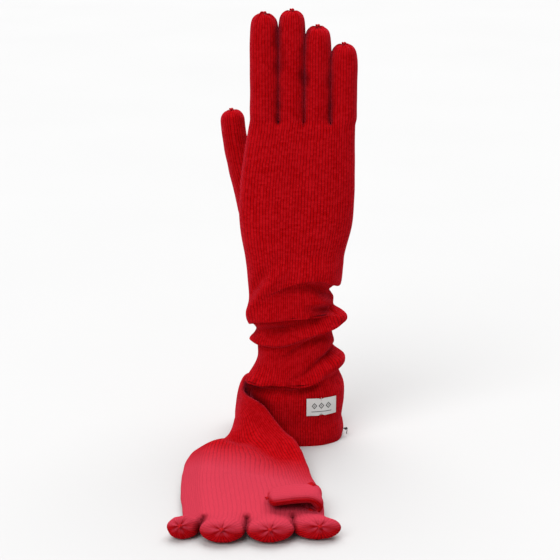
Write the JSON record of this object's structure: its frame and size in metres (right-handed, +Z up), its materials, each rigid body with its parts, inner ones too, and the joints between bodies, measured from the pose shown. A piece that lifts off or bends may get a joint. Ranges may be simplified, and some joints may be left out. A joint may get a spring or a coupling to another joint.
{
  "type": "knitted gloves",
  "caption": "Pair of long fine-knit wool gloves, one standing on its slouched sleeve and one lying palm up, with bending fingers and wrists.",
  "frame": {"origin": "middle of the pair's footprint, on the surface that it stands on", "axes": "+Z up along the standing glove's fingers, +X from its thumb side to its little finger, -Y towards the side that shows the back of its hand"},
  "size_m": [0.1278, 0.2538, 0.3227],
  "materials": {
    "knit": "fine red wool jersey, soft and slightly fuzzy",
    "yarn": "red wool yarn drawn tight",
    "label": "silver-grey woven satin, tacked with thread of the same colour",
    "thread": "dark sewing thread"
  },
  "bodies": {
    "root": {"right_hem": "knit", "right_sleeve_band": "knit", "right_label": "label", "right_label_top_tack": "label", "right_label_bottom_tack": "label", "right_hem_thread": "thread"},
    "right_lower_fold": {"right_sleeve_lower_fold": "knit"},
    "right_upper_fold": {"right_sleeve_upper_fold": "knit"},
    "right_hand": {"right_hand": "knit"},
    "right_index": {"right_index_finger": "knit", "right_index_tip_gather": "yarn"},
    "right_middle": {"right_middle_finger": "knit", "right_middle_tip_gather": "yarn"},
    "right_ring": {"right_ring_finger": "knit", "right_ring_tip_gather": "yarn"},
    "right_little": {"right_little_finger": "knit", "right_little_tip_gather": "yarn"},
    "right_thumb": {"right_thumb": "knit", "right_thumb_tip_gather": "yarn"},
    "left_sleeve": {"left_sleeve": "knit", "left_hem": "knit"},
    "left_hand": {"left_hand": "knit"},
    "left_index": {"left_index_finger": "knit", "left_index_tip_gather": "yarn"},
    "left_middle": {"left_middle_finger": "knit", "left_middle_tip_gather": "yarn"},
    "left_ring": {"left_ring_finger": "knit", "left_ring_tip_gather": "yarn"},
    "left_little": {"left_little_finger": "knit", "left_little_tip_gather": "yarn"},
    "left_thumb": {"left_thumb": "knit", "left_thumb_tip_gather": "yarn"}
  },
  "joints": [
    {"name": "right_lower_fold_slide", "type": "slide", "parent": "root", "child": "right_lower_fold", "axis": [0, 0, 1], "range_m": [0, 0.026]},
    {"name": "right_upper_fold_slide", "type": "slide", "parent": "right_lower_fold", "child": "right_upper_fold", "axis": [0, 0, 1], "range_m": [0, 0.026]},
    {"name": "right_wrist_bend", "type": "hinge", "parent": "right_upper_fold", "child": "right_hand", "pos_m": [0.02194, 0.07752, 0.133], "axis": [-1, 0, 0], "range_deg": [-60, 60]},
    {"name": "right_index_bend", "type": "hinge", "parent": "right_hand", "child": "right_index", "pos_m": [-0.00186, 0.07752, 0.25], "axis": [-1, 0, 0], "range_deg": [-15, 90]},
    {"name": "right_middle_bend", "type": "hinge", "parent": "right_hand", "child": "right_middle", "pos_m": [0.01694, 0.07752, 0.25], "axis": [-1, 0, 0], "range_deg": [-15, 90]},
    {"name": "right_ring_bend", "type": "hinge", "parent": "right_hand", "child": "right_ring", "pos_m": [0.03584, 0.07752, 0.25], "axis": [-1, 0, 0], "range_deg": [-15, 90]},
    {"name": "right_little_bend", "type": "hinge", "parent": "right_hand", "child": "right_little", "pos_m": [0.05504, 0.07752, 0.25], "axis": [-1, 0, 0], "range_deg": [-15, 90]},
    {"name": "right_thumb_spread", "type": "hinge", "parent": "right_hand", "child": "right_thumb", "pos_m": [-0.01556, 0.10052, 0.187], "axis": [0, -1, 0], "range_deg": [0, 45]},
    {"name": "left_glove_slide", "type": "slide", "parent": "root", "child": "left_sleeve", "axis": [-1, 0, 0], "range_m": [0, 0.25]},
    {"name": "left_wrist_bend", "type": "hinge", "parent": "left_sleeve", "child": "left_hand", "pos_m": [-0.01156, 0.02752, 0.006], "axis": [-1, 0, 0], "range_deg": [0, 50]},
    {"name": "left_index_bend", "type": "hinge", "parent": "left_hand", "child": "left_index", "pos_m": [0.02994, -0.08648, 0.006], "axis": [-1, 0, 0], "range_deg": [0, 90]},
    {"name": "left_middle_bend", "type": "hinge", "parent": "left_hand", "child": "left_middle", "pos_m": [0.00274, -0.08648, 0.006], "axis": [-1, 0, 0], "range_deg": [0, 90]},
    {"name": "left_ring_bend", "type": "hinge", "parent": "left_hand", "child": "left_ring", "pos_m": [-0.02706, -0.08648, 0.006], "axis": [-1, 0, 0], "range_deg": [0, 90]},
    {"name": "left_little_bend", "type": "hinge", "parent": "left_hand", "child": "left_little", "pos_m": [-0.04966, -0.08648, 0.006], "axis": [-1, 0, 0], "range_deg": [0, 90]},
    {"name": "left_thumb_unfold", "type": "hinge", "parent": "left_hand", "child": "left_thumb", "pos_m": [0.03394, -0.06348, 0.018], "axis": [0, 1, 0], "range_deg": [0, 150]}
  ],
  "couplings": [
    {"joint": "right_upper_fold_slide", "follows": "right_lower_fold_slide", "ratio": 1}
  ]
}
